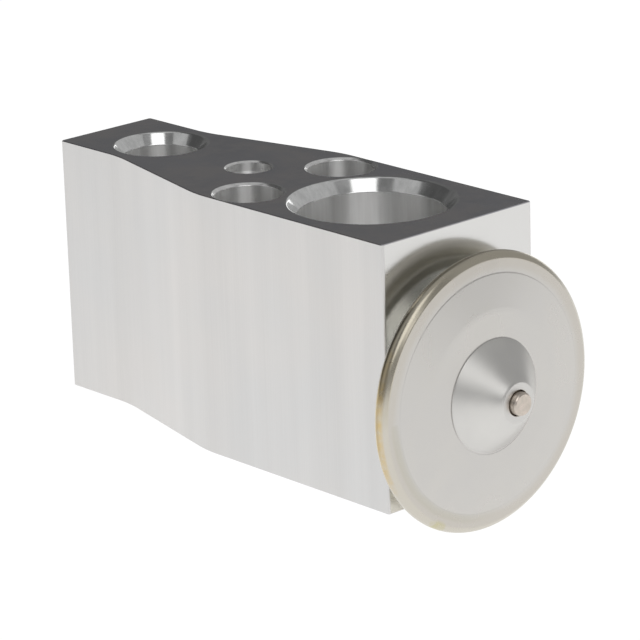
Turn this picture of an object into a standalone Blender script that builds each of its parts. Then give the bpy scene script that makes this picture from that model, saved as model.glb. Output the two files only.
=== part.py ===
"""Block-type thermostatic expansion valve.

Frame: +X runs along the valve's axis towards the head, +Z points out of the
face with the pipe ports, and the origin is on the opposite port face, midway
between the two bolt holes. Metres.

Stations along the block are given in millimetres from its narrow end face,
because the whole valve is machined and assembled from that end; at() turns a
station into a coordinate of the frame.
"""

from math import atan2, cos, hypot, pi, radians, sin, sqrt, tan

import bmesh
import bpy
from mathutils import Vector

MM = 0.001

# ---------------------------------------------------------------- dimensions
# Block, extruded along Z
BLOCK_LENGTH = 68.0
BLOCK_HEIGHT = 34.8
WIDE_WIDTH = 25.8
NARROW_WIDTH = 15.7
FLARE_START = 12.0  # station where the narrow part begins to widen
FLARE_END = 33.5
BEND_RADIUS = 18.0  # soft bends at both ends of the flare
CORNER_RADIUS = 0.35

AXIS_Z = 13.7  # height of the rod's axis over the lower port face
BOLT_STATION = 38.3
BOLT_Y = 8.05
BOLT_HOLE_RADIUS = 4.4
BOLT_EDGE_BREAK = 0.35

SUCTION_STATION = 52.6
SUCTION_RADIUS = 9.5
SUCTION_CHAMFER = 1.65  # depth; the cone is steeper than 45 degrees
CHAMFER_SLOPE = 0.8  # growth in radius for each millimetre of a port chamfer

LIQUID_PORT_STATION = 11.6  # small port in the upper face, into the ball's chamber
OUTLET_PORT_STATION = 21.4  # small port in the lower face, after the seat
SMALL_PORT_RADIUS = 5.15
SMALL_PORT_CHAMFER = 1.5
SMALL_PORT_DEPTH = 10.0
OUTLET_PORT_DEPTH = 6.0
PASSAGE_RADIUS = 3.0

TAPPED_STATION = 29.3
TAPPED_DRILL_RADIUS = 2.5
TAPPED_CHAMFER_RADIUS = 3.35
TAPPED_DEPTH = 14.0

# Bores on the rod's axis
ADJUSTER_BORE_RADIUS = 6.2
ADJUSTER_BORE_END = 5.2
CHAMBER_RADIUS = 5.6
CHAMBER_END = 14.8
SEAT_MOUTH_STATION = 16.5
SEAT_MOUTH_RADIUS = 2.6
ORIFICE_RADIUS = 1.5
ORIFICE_STATION = 17.6
GUIDE_RADIUS = 1.45
SEAL_POCKET_RADIUS = 2.9
SEAL_POCKET_STATION = 39.5
NECK_BORE_RADIUS = 9.6
NECK_BORE_STATION = 62.6
EQUALISING_HOLE_RADIUS = 4.5
NECK_CHAMFER_RADIUS = 11.6

# Head
RIM_CORE_RADIUS = 17.0
RIM_BEAD_RADIUS = 1.0
RIM_STATION = 71.7
LID = 0.8  # sheet thickness
STEP_RADIUS = 15.3
RAISED_RADIUS = 10.7
CONE_BASE_RADIUS = 7.4
CONE_TOP_RADIUS = 2.85
CONE_BASE_STATION = 73.87
CONE_TOP_STATION = 77.85
PLUG_RADIUS = 1.72
PLUG_HOLE_RADIUS = 2.0
PLUG_END = 78.9
BOSS_RADIUS = 13.28
NECK_RADIUS = 9.3
DIAPHRAGM = 0.25
DIAPHRAGM_RADIUS = 15.8
DIAPHRAGM_STATION = 71.25

# Valve train
ROD_RADIUS = 1.2
ROD_TIP_RADIUS = 0.9
BALL_RADIUS = 2.0
STROKE = 0.8
REST_GAP = 0.3

# Adjuster
SCREW_RADIUS = 5.9
SCREW_NOSE_RADIUS = 5.3
SCREW_START = 0.8
SCREW_END = 8.2
SCREW_CUP_RADIUS = 3.4
SCREW_CUP_STATION = 4.7
HEX_ACROSS_FLATS = 5.0
HEX_DEPTH = 2.9

SPRING_RADIUS = 2.6
SPRING_WIRE = 0.42
SPRING_TURNS = 5.0


def at(station):
    """Coordinate along X of a station given from the narrow end face."""
    return (station - BOLT_STATION) * MM


# ---------------------------------------------------------------- scene
for old in list(bpy.data.objects):
    bpy.data.objects.remove(old, do_unlink=True)


def principled(name, colour, roughness, metallic):
    """A material of its own for one sub-part."""
    material = bpy.data.materials.new(name)
    material.use_nodes = True
    shader = material.node_tree.nodes["Principled BSDF"]
    shader.inputs["Base Color"].default_value = (*colour, 1.0)
    shader.inputs["Roughness"].default_value = roughness
    shader.inputs["Metallic"].default_value = metallic
    material.diffuse_color = (*colour, 1.0)
    return material


# Finishes: colour, roughness, metallic
MILLED = ((0.78, 0.78, 0.77), 0.30, 1.0)
PRESSED = ((0.72, 0.71, 0.69), 0.33, 1.0)
TURNED = ((0.60, 0.60, 0.60), 0.22, 1.0)
SPRING_STEEL = ((0.46, 0.46, 0.47), 0.30, 1.0)
RUBBER = ((0.03, 0.04, 0.03), 0.55, 0.0)
PLUG_STEEL = ((0.70, 0.64, 0.58), 0.28, 1.0)
BRASS = ((0.72, 0.58, 0.32), 0.30, 1.0)


def finish(bm, name, look, origin=None, sharp=30.0, helper=False):
    """Turns a bmesh in frame coordinates into an object, its origin where asked."""
    bmesh.ops.remove_doubles(bm, verts=bm.verts, dist=1e-7)
    bmesh.ops.recalc_face_normals(bm, faces=bm.faces)
    origin = Vector(origin or (0.0, 0.0, 0.0))
    bmesh.ops.translate(bm, verts=bm.verts, vec=-origin)
    mesh = bpy.data.meshes.new(name)
    bm.to_mesh(mesh)
    bm.free()
    obj = bpy.data.objects.new(name, mesh)
    obj.location = origin
    bpy.context.collection.objects.link(obj)
    if helper:
        obj.hide_render = True
        obj.display_type = "WIRE"
    else:
        mesh.materials.append(principled(name + "_finish", *look))
        mesh.shade_smooth()
        mesh.set_sharp_from_angle(angle=radians(sharp))
    return obj


def axial(profile):
    """Profile points (station, radius) on the rod's axis, in frame coordinates."""
    return [(at(station), 0.0, (AXIS_Z + radius) * MM) for station, radius in profile]


def turned(name, profile, steps, look=None, closed=False, helper=False, origin=None):
    """Body turned about the rod's axis. profile holds (station, radius) pairs."""
    bm = bmesh.new()
    spin_profile(bm, axial(profile), (0.0, 0.0, AXIS_Z * MM), (1, 0, 0), steps, closed)
    return finish(bm, name, look, origin, helper=helper)


def bored(name, station, y, profile, steps):
    """Cutter turned about a vertical axis. profile holds (height, radius) pairs."""
    bm = bmesh.new()
    x = at(station)
    points = [(x + radius * MM, y * MM, height * MM) for height, radius in profile]
    spin_profile(bm, points, (x, y * MM, 0.0), (0, 0, 1), steps, False)
    return finish(bm, name, None, helper=True)


def spin_profile(bm, points, centre, axis, steps, closed):
    verts = [bm.verts.new(p) for p in points]
    edges = [bm.edges.new(pair) for pair in zip(verts, verts[1:])]
    if closed:
        edges.append(bm.edges.new((verts[-1], verts[0])))
    bmesh.ops.spin(
        bm,
        geom=verts + edges,
        cent=centre,
        axis=axis,
        dvec=(0, 0, 0),
        angle=2 * pi,
        steps=steps,
        use_merge=True,
    )


def arc(cx, cr, radius, start, end, count):
    """Points on a circle in the (station, radius) plane, angles in degrees."""
    return [
        (
            cx + radius * cos(radians(start + (end - start) * i / count)),
            cr + radius * sin(radians(start + (end - start) * i / count)),
        )
        for i in range(count + 1)
    ]


def cut(target, *cutters):
    for cutter in cutters:
        modifier = target.modifiers.new(cutter.name, "BOOLEAN")
        modifier.operation = "DIFFERENCE"
        modifier.solver = "EXACT"
        modifier.object = cutter


# ---------------------------------------------------------------- block
def rounded_corner(before, corner, after, radius, count):
    """Arc of the given radius that rounds a corner of the outline."""
    a, c, b = Vector(before), Vector(corner), Vector(after)
    u, v = (a - c).normalized(), (b - c).normalized()
    half = u.angle(v) / 2
    setback = radius / tan(half)
    centre = c + (u + v).normalized() * (radius / sin(half))
    first, last = c + u * setback - centre, c + v * setback - centre
    start = atan2(first.y, first.x)
    sweep = (atan2(last.y, last.x) - start + pi) % (2 * pi) - pi
    return [
        (
            centre.x + radius * cos(start + sweep * i / count),
            centre.y + radius * sin(start + sweep * i / count),
        )
        for i in range(count + 1)
    ]


def block_outline():
    """Outline of the extrusion seen from above, counter-clockwise, in mm."""
    narrow, wide = NARROW_WIDTH / 2, WIDE_WIDTH / 2
    side = [
        (0.0, -narrow, CORNER_RADIUS, 3),
        (FLARE_START, -narrow, BEND_RADIUS, 4),
        (FLARE_END, -wide, BEND_RADIUS, 4),
        (BLOCK_LENGTH, -wide, CORNER_RADIUS, 3),
    ]
    corners = side + [(x, -y, r, n) for x, y, r, n in reversed(side)]
    outline = []
    for i, (x, y, radius, count) in enumerate(corners):
        before, after = corners[i - 1][:2], corners[(i + 1) % len(corners)][:2]
        outline += rounded_corner(before, (x, y), after, radius, count)
    return outline


def make_block():
    bm = bmesh.new()
    base = [bm.verts.new((at(x), y * MM, 0.0)) for x, y in block_outline()]
    face = bm.faces.new(base)
    lifted = bmesh.ops.extrude_face_region(bm, geom=[face])
    top = [v for v in lifted["geom"] if isinstance(v, bmesh.types.BMVert)]
    bmesh.ops.translate(bm, verts=top, vec=(0, 0, BLOCK_HEIGHT * MM))
    block = finish(bm, "valve_block", MILLED)

    h, out = BLOCK_HEIGHT, 1.0
    c = SUCTION_CHAMFER
    suction = bored(
        "cut_suction_passage",
        SUCTION_STATION,
        0.0,
        [
            (-out, 0.0),
            (-out, SUCTION_RADIUS + (c + out) * CHAMFER_SLOPE),
            (c, SUCTION_RADIUS),
            (h - c, SUCTION_RADIUS),
            (h + out, SUCTION_RADIUS + (c + out) * CHAMFER_SLOPE),
            (h + out, 0.0),
        ],
        64,
    )
    c = SMALL_PORT_CHAMFER
    cone = SMALL_PORT_RADIUS - PASSAGE_RADIUS
    liquid = bored(
        "cut_liquid_port",
        LIQUID_PORT_STATION,
        0.0,
        [
            (AXIS_Z - 1.0, 0.0),
            (AXIS_Z + 1.0, PASSAGE_RADIUS),
            (h - SMALL_PORT_DEPTH - cone * 0.6, PASSAGE_RADIUS),
            (h - SMALL_PORT_DEPTH, SMALL_PORT_RADIUS),
            (h - c, SMALL_PORT_RADIUS),
            (h + out, SMALL_PORT_RADIUS + (c + out) * CHAMFER_SLOPE),
            (h + out, 0.0),
        ],
        40,
    )
    outlet = bored(
        "cut_outlet_port",
        OUTLET_PORT_STATION,
        0.0,
        [
            (-out, 0.0),
            (-out, SMALL_PORT_RADIUS + (c + out) * CHAMFER_SLOPE),
            (c, SMALL_PORT_RADIUS),
            (OUTLET_PORT_DEPTH, SMALL_PORT_RADIUS),
            (OUTLET_PORT_DEPTH + cone * 0.6, PASSAGE_RADIUS),
            (AXIS_Z + 2.0, PASSAGE_RADIUS),
            (AXIS_Z + 3.7, 0.0),
        ],
        40,
    )
    tapped = bored(
        "cut_tapped_hole",
        TAPPED_STATION,
        0.0,
        [
            (h - TAPPED_DEPTH - 1.4, 0.0),
            (h - TAPPED_DEPTH, TAPPED_DRILL_RADIUS),
            (h - TAPPED_CHAMFER_RADIUS + TAPPED_DRILL_RADIUS, TAPPED_DRILL_RADIUS),
            (h + out, TAPPED_CHAMFER_RADIUS + out),
            (h + out, 0.0),
        ],
        32,
    )
    r, b = BOLT_HOLE_RADIUS, BOLT_EDGE_BREAK
    bolts = [
        bored(
            f"cut_bolt_hole_{side}",
            BOLT_STATION,
            y,
            [
                (-0.2, 0.0),
                (-0.2, r + b + 0.2),
                (b, r),
                (h - b, r),
                (h + 0.2, r + b + 0.2),
                (h + 0.2, 0.0),
            ],
            40,
        )
        for side, y in (("left", BOLT_Y), ("right", -BOLT_Y))
    ]
    chamber = turned(
        "cut_ball_chamber",
        [
            (-out, 0.0),
            (-out, ADJUSTER_BORE_RADIUS + 0.4 + out),
            (0.4, ADJUSTER_BORE_RADIUS),
            (ADJUSTER_BORE_END, ADJUSTER_BORE_RADIUS),
            (ADJUSTER_BORE_END + 0.6, CHAMBER_RADIUS),
            (CHAMBER_END, CHAMBER_RADIUS),
            (SEAT_MOUTH_STATION, SEAT_MOUTH_RADIUS),
            (ORIFICE_STATION, ORIFICE_RADIUS),
            (OUTLET_PORT_STATION, ORIFICE_RADIUS),
            (OUTLET_PORT_STATION, 0.0),
        ],
        40,
        helper=True,
    )
    guide = turned(
        "cut_rod_guide",
        [
            (OUTLET_PORT_STATION + 1.0, 0.0),
            (OUTLET_PORT_STATION + 1.0, GUIDE_RADIUS),
            (SEAL_POCKET_STATION, GUIDE_RADIUS),
            (SEAL_POCKET_STATION, SEAL_POCKET_RADIUS),
            (SUCTION_STATION - 4.0, SEAL_POCKET_RADIUS),
            (SUCTION_STATION - 4.0, 0.0),
        ],
        32,
        helper=True,
    )
    neck = turned(
        "cut_neck_bore",
        [
            (SUCTION_STATION + 5.0, 0.0),
            (SUCTION_STATION + 5.0, EQUALISING_HOLE_RADIUS),
            (NECK_BORE_STATION, EQUALISING_HOLE_RADIUS),
            (NECK_BORE_STATION, NECK_BORE_RADIUS),
            (BLOCK_LENGTH - NECK_CHAMFER_RADIUS + NECK_BORE_RADIUS, NECK_BORE_RADIUS),
            (BLOCK_LENGTH + out, NECK_CHAMFER_RADIUS + out),
            (BLOCK_LENGTH + out, 0.0),
        ],
        56,
        helper=True,
    )
    cut(block, suction, liquid, outlet, tapped, *bolts, chamber, guide, neck)
    return block


# ---------------------------------------------------------------- head
def make_head_cover():
    """Outer lid, with the rim bead that welds the head together fused to it."""
    bead = arc(RIM_STATION, RIM_CORE_RADIUS, RIM_BEAD_RADIUS, 198.0, 0.0, 11)
    along = Vector(
        (CONE_TOP_STATION - CONE_BASE_STATION, CONE_TOP_RADIUS - CONE_BASE_RADIUS)
    ).normalized()
    inward = Vector((along.y, -along.x)) * LID
    top_inner = (CONE_TOP_STATION + inward.x, CONE_TOP_RADIUS + inward.y)
    base_inner = (CONE_BASE_STATION + inward.x, CONE_BASE_RADIUS + inward.y)
    slope = (top_inner[1] - base_inner[1]) / (top_inner[0] - base_inner[0])
    flat_inner = CONE_BASE_STATION - LID
    ceiling = top_inner[0] - 0.15
    profile = [
        (70.95, 16.1),
        *bead,
        (73.0, STEP_RADIUS + 0.05),
        (73.2, STEP_RADIUS - 0.05),
        (73.63, RAISED_RADIUS + 0.1),
        (73.75, RAISED_RADIUS - 0.1),
        (CONE_BASE_STATION, CONE_BASE_RADIUS),
        (CONE_TOP_STATION, CONE_TOP_RADIUS),
        (78.0, CONE_TOP_RADIUS - 0.25),
        (78.0, PLUG_HOLE_RADIUS + 0.12),
        (77.88, PLUG_HOLE_RADIUS),
        (ceiling, PLUG_HOLE_RADIUS),
        (ceiling, base_inner[1] + slope * (ceiling - base_inner[0])),
        (flat_inner, base_inner[1] + slope * (flat_inner - base_inner[0])),
        (flat_inner - 0.12, RAISED_RADIUS - 0.3),
        (72.4, STEP_RADIUS - 0.4),
        (71.8, STEP_RADIUS),
        (71.8, 16.1),
    ]
    return turned("head_cover", profile, 48, PRESSED, closed=True)


def make_head_base():
    """Inner lid, seat for the stopper and threaded neck, turned as one piece."""
    profile = [
        (63.2, 6.6),
        (67.3, 6.6),
        (67.3, 4.2),
        (69.25, 4.2),
        (69.25, 9.9),
        (70.55, 9.9),
        (70.95, 10.3),
        (70.95, DIAPHRAGM_RADIUS),
        (70.4, DIAPHRAGM_RADIUS),
        (70.3, BOSS_RADIUS + 1.7),
        (68.6, BOSS_RADIUS + 0.27),
        (68.3, BOSS_RADIUS),
        (68.3, NECK_RADIUS),
        (63.7, NECK_RADIUS),
        (63.2, NECK_RADIUS - 0.5),
    ]
    return turned("head_base", profile, 48, PRESSED, closed=True)


def diaphragm_face(side):
    """Station and radius along one face of the diaphragm: flat, two waves, flat."""
    points = []
    for radius in (0.0, 10.2):
        points.append((DIAPHRAGM_STATION + side, radius))
    waves, start, end, count = 2, 10.6, 14.6, 10
    for i in range(1, count):
        radius = start + (end - start) * i / count
        lift = 0.11 * sin(2 * pi * waves * i / count)
        points.append((DIAPHRAGM_STATION + side + lift, radius))
    points.append((DIAPHRAGM_STATION + side, 15.0))
    points.append((DIAPHRAGM_STATION + side, DIAPHRAGM_RADIUS))
    return points


def make_diaphragm():
    outer = diaphragm_face(DIAPHRAGM)
    return turned(
        "diaphragm", outer + list(reversed(diaphragm_face(0.0))), 32, SPRING_STEEL
    )


def make_stopper():
    """Plate under the diaphragm, with a socket that holds the rod's end."""
    profile = [
        (70.95, 0.0),
        (70.95, 9.0),
        (70.5, 9.5),
        (69.55, 9.5),
        (69.55, 3.2),
        (66.2, 3.0),
        (66.0, 2.8),
        (66.0, ROD_RADIUS + 0.3),
        (68.5, ROD_RADIUS + 0.3),
        (68.5, 0.0),
    ]
    return turned("diaphragm_stopper", profile, 32, TURNED, origin=stem_origin())


def make_plug():
    profile = [
        (75.8, 0.0),
        (75.8, 2.2),
        (76.7, 2.2),
        (76.7, PLUG_RADIUS),
        (PLUG_END - 0.15, PLUG_RADIUS),
        (PLUG_END, PLUG_RADIUS - 0.18),
        (PLUG_END, 0.0),
    ]
    return turned("charge_plug", profile, 32, PLUG_STEEL)


def ring(name, station, mean_radius, cord_radius, steps, sides, origin=None):
    circle = arc(station, mean_radius, cord_radius, 0.0, 360.0, sides)[:-1]
    return turned(name, circle, steps, RUBBER, closed=True, origin=origin)


# ---------------------------------------------------------------- valve train
def seated_ball_station():
    """The ball's centre when it touches the rim of the orifice."""
    return ORIFICE_STATION - sqrt(BALL_RADIUS**2 - ORIFICE_RADIUS**2)


BALL_STATION = seated_ball_station() - STROKE - 0.1


def stem_origin():
    return (at(BALL_STATION), 0.0, AXIS_Z * MM)


def make_rod():
    tip = BALL_STATION + BALL_RADIUS + REST_GAP
    profile = [
        (tip, 0.0),
        (tip, ROD_TIP_RADIUS - 0.15),
        (tip + 0.15, ROD_TIP_RADIUS),
        (23.6, ROD_TIP_RADIUS),
        (24.6, ROD_RADIUS),
        (68.0, ROD_RADIUS),
        (68.2, ROD_RADIUS - 0.2),
        (68.2, 0.0),
    ]
    return turned("operating_rod", profile, 24, TURNED, origin=stem_origin())


def make_ball():
    bm = bmesh.new()
    bmesh.ops.create_icosphere(bm, subdivisions=3, radius=BALL_RADIUS * MM)
    bmesh.ops.translate(bm, verts=bm.verts, vec=stem_origin())
    return finish(bm, "valve_ball", TURNED, stem_origin())


SUPPORT_FLANGE = 12.2  # station of the flange's lower face


def make_support():
    """Cup under the ball, with a spigot that centres the spring."""
    clear = BALL_RADIUS + REST_GAP
    mouth = 2.05
    reach = atan2(mouth, sqrt(clear**2 - mouth**2))
    dimple = [
        (
            BALL_STATION - clear * cos(reach * i / 5),
            clear * sin(reach * i / 5),
        )
        for i in range(6)
    ]
    lip = dimple[-1][0]
    profile = [
        *dimple,
        (lip, 2.5),
        (13.3, 2.9),
        (13.1, 3.4),
        (SUPPORT_FLANGE, 3.4),
        (SUPPORT_FLANGE, 1.85),
        (10.6, 1.7),
        (10.4, 1.5),
        (10.4, 0.0),
    ]
    return turned("ball_support", profile, 28, TURNED, origin=stem_origin())


def make_damping_spring():
    """Ring under the support's flange, with three legs that lean on the bore."""
    thickness, width = 0.25, 1.7
    top = SUPPORT_FLANGE - REST_GAP
    bm = bmesh.new()
    spin_profile(
        bm,
        axial([(top, 2.2), (top, 3.9), (top - thickness, 3.9), (top - thickness, 2.2)]),
        (0.0, 0.0, AXIS_Z * MM),
        (1, 0, 0),
        36,
        True,
    )
    spring = finish(bm, "damping_spring", SPRING_STEEL, stem_origin())
    # Middle line of one leg, as (station, radius): out from the ring, then round
    # towards the ball, with its tip turned in from the bore.
    middle = top - thickness / 2
    path = [(middle, 3.3), (middle, 4.1)]
    path += [
        (middle + 0.95 * (1 - cos(radians(a))), 4.1 + 1.12 * sin(radians(a)))
        for a in range(18, 91, 18)
    ]
    path.append((top + 1.45, 5.08))
    for leg in range(3):
        turn = radians(180.0 + 120.0 * leg)
        bm = bmesh.new()
        sections = []
        for i, (x, r) in enumerate(path):
            before, after = path[max(i - 1, 0)], path[min(i + 1, len(path) - 1)]
            dx, dr = after[0] - before[0], after[1] - before[1]
            length = hypot(dx, dr)
            nx, nr = -dr / length, dx / length
            corners = []
            for s, w in ((-1, -1), (-1, 1), (1, 1), (1, -1)):
                px = x + nx * s * thickness / 2
                pr = r + nr * s * thickness / 2
                pw = w * width / 2
                corners.append(
                    bm.verts.new(
                        (
                            at(px),
                            (pr * sin(turn) + pw * cos(turn)) * MM,
                            (AXIS_Z + pr * cos(turn) - pw * sin(turn)) * MM,
                        )
                    )
                )
            sections.append(corners)
        for a, b in zip(sections, sections[1:]):
            for k in range(4):
                bm.faces.new((a[k], a[(k + 1) % 4], b[(k + 1) % 4], b[k]))
        bm.faces.new(sections[0])
        bm.faces.new(sections[-1])
        part = finish(bm, f"leg_{leg}", None, helper=True)
        modifier = spring.modifiers.new(part.name, "BOOLEAN")
        modifier.operation = "UNION"
        modifier.solver = "EXACT"
        modifier.object = part
    return spring


def make_superheat_spring():
    """Coil with a closed turn at each end, between the screw's cup and the support."""
    low = SCREW_CUP_STATION + REST_GAP + SPRING_WIRE
    high = SUPPORT_FLANGE - 2 * REST_GAP - 0.25 - SPRING_WIRE
    closed_turns, closed_pitch = 0.8, 2 * SPRING_WIRE + 0.12
    open_turns = SPRING_TURNS - 2 * closed_turns
    open_pitch = (high - low - 2 * closed_turns * closed_pitch) / open_turns
    per_turn, sides = 16, 8
    total = int(SPRING_TURNS * per_turn)
    bm = bmesh.new()
    rows = []
    for i in range(total + 1):
        turns = i / per_turn
        first = min(turns, closed_turns)
        middle = min(max(turns - closed_turns, 0.0), open_turns)
        last = max(turns - closed_turns - open_turns, 0.0)
        station = low + (first + last) * closed_pitch + middle * open_pitch
        angle = 2 * pi * turns
        radial = Vector((0.0, cos(angle), sin(angle)))
        centre = Vector((at(station), 0.0, AXIS_Z * MM)) + radial * SPRING_RADIUS * MM
        pitch = open_pitch if closed_turns < turns < closed_turns + open_turns else closed_pitch
        tangent = Vector(
            (pitch / (2 * pi), -SPRING_RADIUS * sin(angle), SPRING_RADIUS * cos(angle))
        ).normalized()
        side = tangent.cross(radial)
        rows.append(
            [
                bm.verts.new(
                    centre
                    + (radial * cos(2 * pi * k / sides) + side * sin(2 * pi * k / sides))
                    * SPRING_WIRE
                    * MM
                )
                for k in range(sides)
            ]
        )
    for a, b in zip(rows, rows[1:]):
        for k in range(sides):
            bm.faces.new((a[k], a[(k + 1) % sides], b[(k + 1) % sides], b[k]))
    bm.faces.new(rows[0])
    bm.faces.new(rows[-1])
    return finish(bm, "superheat_spring", SPRING_STEEL, stem_origin(), sharp=60.0)


# ---------------------------------------------------------------- adjuster
def screw_origin():
    return (at(SCREW_START), 0.0, AXIS_Z * MM)


def make_screw():
    """Hollow screw: hexagon socket outside, spring cup inside, groove for its seal."""
    profile = [
        (SCREW_START, 0.0),
        (SCREW_START, SCREW_RADIUS - 0.4),
        (SCREW_START + 0.4, SCREW_RADIUS),
        (4.55, SCREW_RADIUS),
        (4.95, SCREW_NOSE_RADIUS),
        (6.3, SCREW_NOSE_RADIUS),
        (6.3, 4.05),
        (7.7, 4.05),
        (7.7, SCREW_NOSE_RADIUS),
        (8.0, SCREW_NOSE_RADIUS),
        (SCREW_END, SCREW_NOSE_RADIUS - 0.2),
        (SCREW_END, SCREW_CUP_RADIUS),
        (SCREW_CUP_STATION, SCREW_CUP_RADIUS),
        (SCREW_CUP_STATION, 0.0),
    ]
    screw = turned("adjusting_screw", profile, 36, BRASS, origin=screw_origin())
    bm = bmesh.new()
    corner = HEX_ACROSS_FLATS / 2 / cos(radians(30))
    # (station, radius) rows of the socket, with a countersunk mouth and a drilled tip
    rows = [
        (SCREW_START - 0.5, corner),
        (SCREW_START + HEX_DEPTH, corner),
    ]
    loops = [
        [
            bm.verts.new(
                (
                    at(station),
                    radius * sin(radians(60 * k)) * MM,
                    (AXIS_Z + radius * cos(radians(60 * k))) * MM,
                )
            )
            for k in range(6)
        ]
        for station, radius in rows
    ]
    for k in range(6):
        bm.faces.new(
            (loops[0][k], loops[0][(k + 1) % 6], loops[1][(k + 1) % 6], loops[1][k])
        )
    bm.faces.new(loops[0])
    bm.faces.new(loops[1])
    socket = finish(bm, "cut_hexagon_socket", None, helper=True)
    mouth = turned(
        "cut_socket_mouth",
        [
            (SCREW_START - 0.5, 0.0),
            (SCREW_START - 0.5, corner + 0.6),
            (SCREW_START + 0.6, corner - 0.5),
            (SCREW_START + 0.6, 0.0),
        ],
        36,
        helper=True,
    )
    cut(screw, socket, mouth)
    return screw


# ---------------------------------------------------------------- assembly
make_block()
make_head_cover()
make_head_base()
make_diaphragm()
make_plug()
ring("head_seal_ring", 67.55, 10.05, 0.5, 40, 8)
ring("rod_seal_ring", 40.5, 2.05, 0.62, 24, 8)
turned(
    "seal_retainer",
    [(41.55, 1.55), (41.4, 2.1), (41.4, 2.65), (41.75, 2.65), (41.75, 2.1), (41.9, 1.55)],
    28,
    SPRING_STEEL,
    closed=True,
)
make_stopper()
make_rod()
make_ball()
make_support()
make_damping_spring()
make_superheat_spring()
ring("adjuster_seal_ring", 7.0, 4.85, 0.58, 32, 8, origin=(at(7.0), 0.0, AXIS_Z * MM))
make_screw()
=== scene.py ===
"""Looks of a block-type expansion valve.

Everything is in the frame of the part, in metres: +X runs along the valve's
axis towards the head, +Z out of the upper port face. Profiles are given in
millimetres, with stations along X counted from the block's narrow end face.
"""

from math import atan2, ceil, cos, degrees, hypot, pi, radians, sin, sqrt, tan

import bmesh
import bpy
import numpy as np
from mathutils import Matrix, Vector


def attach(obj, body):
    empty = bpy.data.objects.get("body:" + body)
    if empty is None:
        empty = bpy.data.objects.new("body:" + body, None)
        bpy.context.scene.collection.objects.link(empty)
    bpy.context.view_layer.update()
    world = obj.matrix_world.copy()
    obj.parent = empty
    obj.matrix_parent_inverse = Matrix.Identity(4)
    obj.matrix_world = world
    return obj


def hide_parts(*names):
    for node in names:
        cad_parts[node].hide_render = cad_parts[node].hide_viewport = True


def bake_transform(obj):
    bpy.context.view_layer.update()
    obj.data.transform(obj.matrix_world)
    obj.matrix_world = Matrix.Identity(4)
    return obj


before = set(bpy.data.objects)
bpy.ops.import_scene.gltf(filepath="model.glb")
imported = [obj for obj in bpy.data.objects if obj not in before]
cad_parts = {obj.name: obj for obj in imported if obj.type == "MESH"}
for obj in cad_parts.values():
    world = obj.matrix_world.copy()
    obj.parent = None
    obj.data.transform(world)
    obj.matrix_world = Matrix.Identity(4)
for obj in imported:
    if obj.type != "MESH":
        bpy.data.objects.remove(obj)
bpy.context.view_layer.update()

MM = 0.001
AXIS_Z = 13.7
ORIGIN_STATION = 38.3
HEIGHT = 34.8
LENGTH = 68.0

scene = bpy.context.scene
scene.view_settings.view_transform = "Standard"
scene.view_settings.look = "None"
# light has to find its way out of deep polished bores
scene.cycles.max_bounces = 20
scene.cycles.glossy_bounces = 20
scene.cycles.diffuse_bounces = 3


def at(station):
    return (station - ORIGIN_STATION) * MM


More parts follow.
